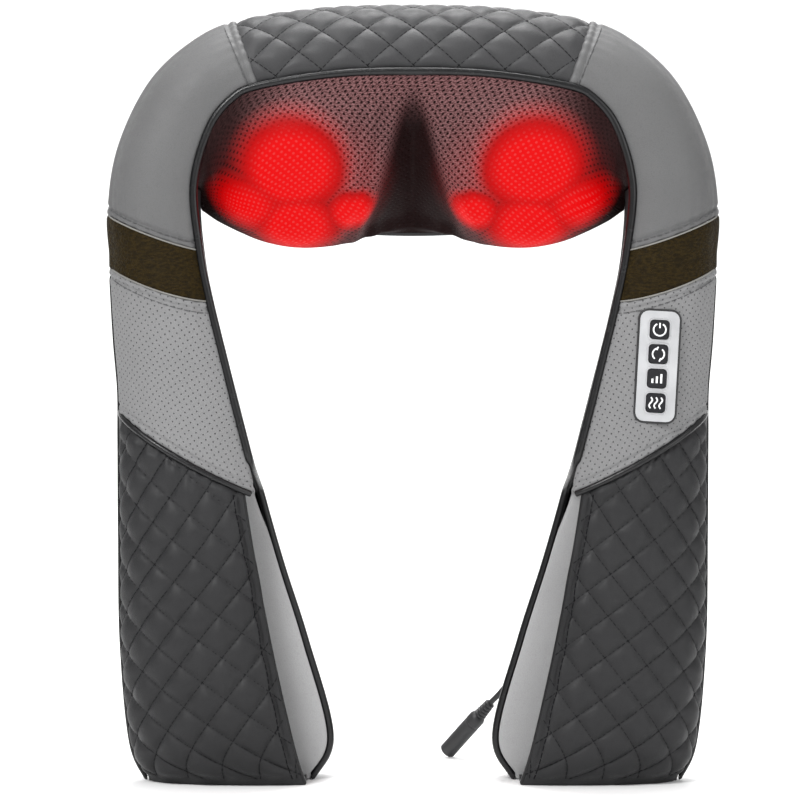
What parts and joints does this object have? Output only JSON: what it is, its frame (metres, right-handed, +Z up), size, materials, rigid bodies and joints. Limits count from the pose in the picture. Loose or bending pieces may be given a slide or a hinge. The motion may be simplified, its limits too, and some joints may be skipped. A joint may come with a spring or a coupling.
{
  "type": "shiatsu neck massager",
  "caption": "U-shaped padded shiatsu neck and shoulder massager with rotating heated nodes behind a mesh panel, hand pockets, push-button control plate and DC lead.",
  "frame": {"origin": "middle of the foot plane under the arm ends, on the symmetry plane; the power lead and its socket are not counted", "axes": "+X towards the arm with the control plate, -Y the front that the massage heads face, +Z up the arms to the neck"},
  "size_m": [0.374, 0.1504, 0.4726],
  "materials": {
    "quilted_leather": "satin",
    "grey_leather": "satin",
    "perforated_leather": "satin",
    "brown_leather": "satin",
    "black_piping": "gloss",
    "back_fabric": "matte",
    "foam": "matte",
    "mesh_fabric": "matte",
    "black_plastic": "satin",
    "white_plastic": "satin",
    "node_plastic": "gloss",
    "silver_plastic": "satin",
    "circuit_board": "satin",
    "steel": "satin",
    "brass": "satin",
    "black_rubber": "satin",
    "button_rubber": "satin"
  },
  "bodies": {
    "housing": {"base_plate": "black_plastic", "control_board": "circuit_board", "control_box": "black_plastic", "control_plate": "silver_plastic", "dc_socket": "black_rubber", "dc_socket_pin": "brass", "front_piping": "black_piping", "left_accent_band": "brown_leather", "left_arm_pad": "foam", "left_back_pad": "back_fabric", "left_gusset": "black_piping", "left_lamp_board": "circuit_board", "left_outer_piping": "black_piping", "left_perforated_panel": "perforated_leather", "left_pocket_panel": "quilted_leather", "left_shaft_bush": "brass", "left_shoulder_panel": "grey_leather", "left_spindle_bush": "brass", "mesh_cover": "mesh_fabric", "motor_can": "steel", "motor_clamp": "steel", "power_cord": "black_rubber", "rear_housing": "black_plastic", "rear_piping": "black_piping", "right_accent_band": "brown_leather", "right_arm_pad": "foam", "right_back_pad": "back_fabric", "right_gusset": "black_piping", "right_lamp_board": "circuit_board", "right_outer_piping": "black_piping", "right_perforated_panel": "perforated_leather", "right_pocket_panel": "quilted_leather", "right_shaft_bush": "brass", "right_shoulder_panel": "grey_leather", "right_spindle_bush": "brass", "strain_relief": "black_rubber", "top_quilt_panel": "quilted_leather"},
    "left_head": {"left_worm_wheel": "white_plastic", "left_spindle": "steel", "left_head_carrier": "white_plastic", "left_carrier_screw": "steel", "left_large_upper_node": "node_plastic", "left_large_lower_node": "node_plastic", "left_small_inner_node": "node_plastic", "left_small_outer_node": "node_plastic"},
    "right_head": {"right_worm_wheel": "white_plastic", "right_spindle": "steel", "right_head_carrier": "white_plastic", "right_carrier_screw": "steel", "right_large_upper_node": "node_plastic", "right_large_lower_node": "node_plastic", "right_small_inner_node": "node_plastic", "right_small_outer_node": "node_plastic"},
    "drive": {"drive_shaft": "steel", "left_worm": "brass", "right_worm": "brass"},
    "power_key": {"power_button": "button_rubber"},
    "direction_key": {"direction_button": "button_rubber"},
    "strength_key": {"strength_button": "button_rubber"},
    "heat_key": {"heat_button": "button_rubber"}
  },
  "joints": [
    {"name": "left_head_spin", "type": "hinge", "parent": "housing", "child": "left_head", "pos_m": [-0.068, -0.0021, 0.375], "axis": [0, -0.7771, -0.6293], "continuous": true},
    {"name": "right_head_spin", "type": "hinge", "parent": "housing", "child": "right_head", "pos_m": [0.068, -0.0021, 0.375], "axis": [0, -0.7771, -0.6293], "continuous": true},
    {"name": "drive_spin", "type": "hinge", "parent": "housing", "child": "drive", "pos_m": [0, -0.00846, 0.40987], "axis": [1, 0, 0], "continuous": true},
    {"name": "power_press", "type": "slide", "parent": "housing", "child": "power_key", "axis": [0, 1, 0], "range_m": [0, 0.001], "stiffness_N_per_m": 800},
    {"name": "direction_press", "type": "slide", "parent": "housing", "child": "direction_key", "axis": [0, 1, 0], "range_m": [0, 0.001], "stiffness_N_per_m": 800},
    {"name": "strength_press", "type": "slide", "parent": "housing", "child": "strength_key", "axis": [0, 1, 0], "range_m": [0, 0.001], "stiffness_N_per_m": 800},
    {"name": "heat_press", "type": "slide", "parent": "housing", "child": "heat_key", "axis": [0, 1, 0], "range_m": [0, 0.001], "stiffness_N_per_m": 800}
  ],
  "couplings": [
    {"joint": "right_head_spin", "follows": "left_head_spin", "ratio": -1},
    {"joint": "drive_spin", "follows": "left_head_spin", "ratio": 36}
  ]
}
